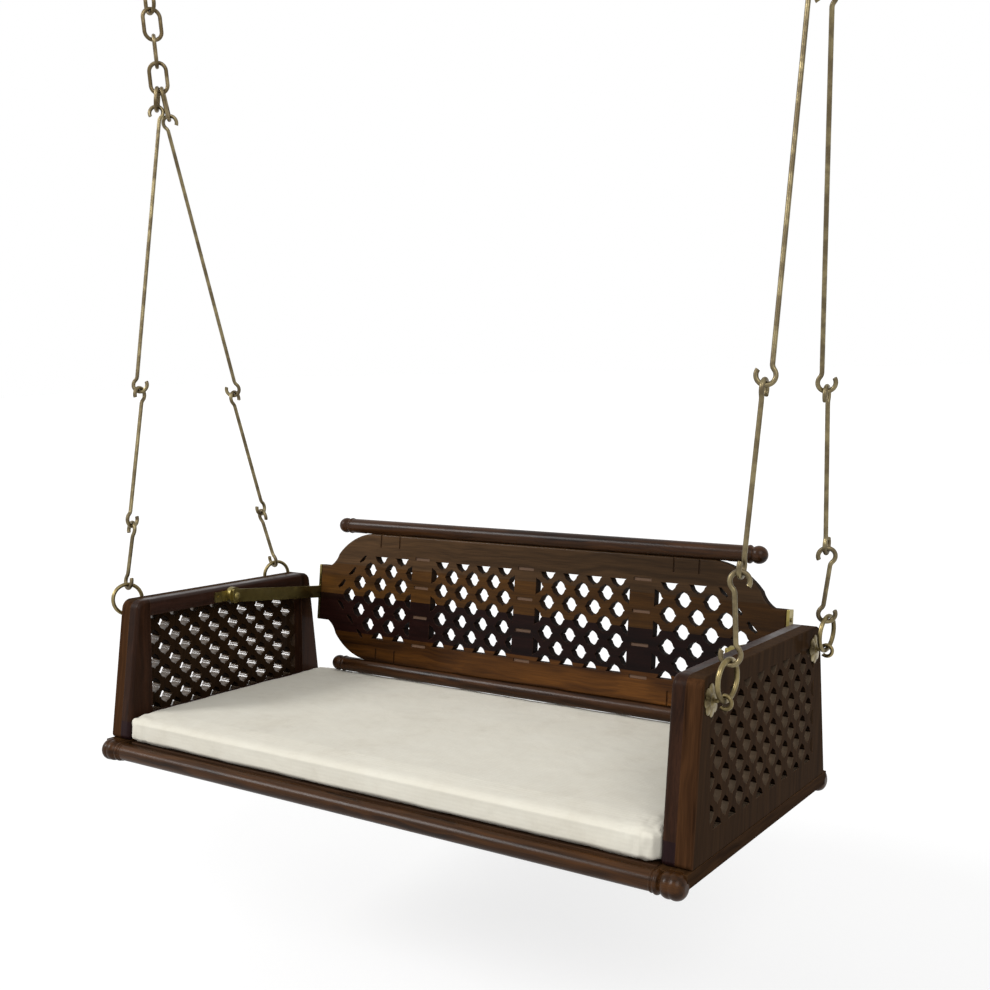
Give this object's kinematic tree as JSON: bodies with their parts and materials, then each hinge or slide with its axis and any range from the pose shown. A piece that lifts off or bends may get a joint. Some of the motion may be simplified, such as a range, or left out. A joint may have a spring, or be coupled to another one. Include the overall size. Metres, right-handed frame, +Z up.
{
  "type": "jhoola swing seat",
  "caption": "Wooden jhoola swing seat with lattice side panels, a flip-over lattice backrest and a mattress cushion, hung by hooked brass rods and chains from ceiling hooks.",
  "frame": {"origin": "on the ceiling plane, midway between the two ceiling plates", "axes": "+X along the seat to the sitter's left (the right of the front view), -Y to the front, +Z up"},
  "size_m": [1.6858, 0.7023, 1.8599],
  "materials": {
    "side_walnut": "gloss",
    "back_walnut": "gloss",
    "rail_walnut": "gloss",
    "plain_wood": "satin",
    "cushion_canvas": "matte",
    "antique_brass": "satin",
    "cast_brass_fittings": "satin",
    "rod_brass": "satin",
    "brass_screws": "satin",
    "steel_bolts": "satin"
  },
  "bodies": {
    "ceiling": {"ceiling_hook_left": "cast_brass_fittings", "ceiling_hook_right": "cast_brass_fittings"},
    "chains": {"chain_left": "cast_brass_fittings", "chain_right": "cast_brass_fittings"},
    "seat": {"arm_base_left": "antique_brass", "arm_base_right": "antique_brass", "base_screws": "brass_screws", "deck_battens": "plain_wood", "deck_planks": "plain_wood", "end_link_left_front": "cast_brass_fittings", "end_link_left_rear": "cast_brass_fittings", "end_link_right_front": "cast_brass_fittings", "end_link_right_rear": "cast_brass_fittings", "eye_hook_left_front": "antique_brass", "eye_hook_left_rear": "antique_brass", "eye_hook_right_front": "antique_brass", "eye_hook_right_rear": "antique_brass", "front_rail": "rail_walnut", "long_rod_left_front": "rod_brass", "long_rod_left_rear": "rod_brass", "long_rod_right_front": "rod_brass", "long_rod_right_rear": "rod_brass", "medium_rod_left_front": "rod_brass", "medium_rod_left_rear": "rod_brass", "medium_rod_right_front": "rod_brass", "medium_rod_right_rear": "rod_brass", "panel_bolts": "steel_bolts", "pivot_pins": "antique_brass", "rear_rail": "rail_walnut", "ring_left_front": "cast_brass_fittings", "ring_left_rear": "cast_brass_fittings", "ring_right_front": "cast_brass_fittings", "ring_right_rear": "cast_brass_fittings", "rosette_left_front": "antique_brass", "rosette_left_rear": "antique_brass", "rosette_right_front": "antique_brass", "rosette_right_rear": "antique_brass", "seat_cushion": "cushion_canvas", "short_rod_left_front": "rod_brass", "short_rod_left_rear": "rod_brass", "short_rod_right_front": "rod_brass", "short_rod_right_rear": "rod_brass", "side_board_left": "rail_walnut", "side_board_right": "rail_walnut", "side_bottom_rail_left": "side_walnut", "side_bottom_rail_right": "side_walnut", "side_front_stile_left": "side_walnut", "side_front_stile_right": "side_walnut", "side_lattice_left": "side_walnut", "side_lattice_right": "side_walnut", "side_rear_stile_left": "side_walnut", "side_rear_stile_right": "side_walnut", "side_top_rail_left": "side_walnut", "side_top_rail_right": "side_walnut"},
    "backrest": {"arm_screws": "brass_screws", "back_arm_left": "antique_brass", "back_arm_right": "antique_brass", "back_bottom_rail": "back_walnut", "back_panel": "back_walnut", "back_top_rail": "back_walnut"}
  },
  "joints": [
    {"name": "swing", "type": "hinge", "parent": "ceiling", "child": "chains", "pos_m": [0, 0, -0.05893], "axis": [1, 0, 0], "range_deg": [-20, 20]},
    {"name": "rock", "type": "hinge", "parent": "chains", "child": "seat", "pos_m": [0, 0, -0.35273], "axis": [1, 0, 0], "range_deg": [-10, 10]},
    {"name": "back_flip", "type": "hinge", "parent": "seat", "child": "backrest", "pos_m": [0, -0.03072, -1.51875], "axis": [1, 0, 0], "range_deg": [0, 191.26]}
  ]
}
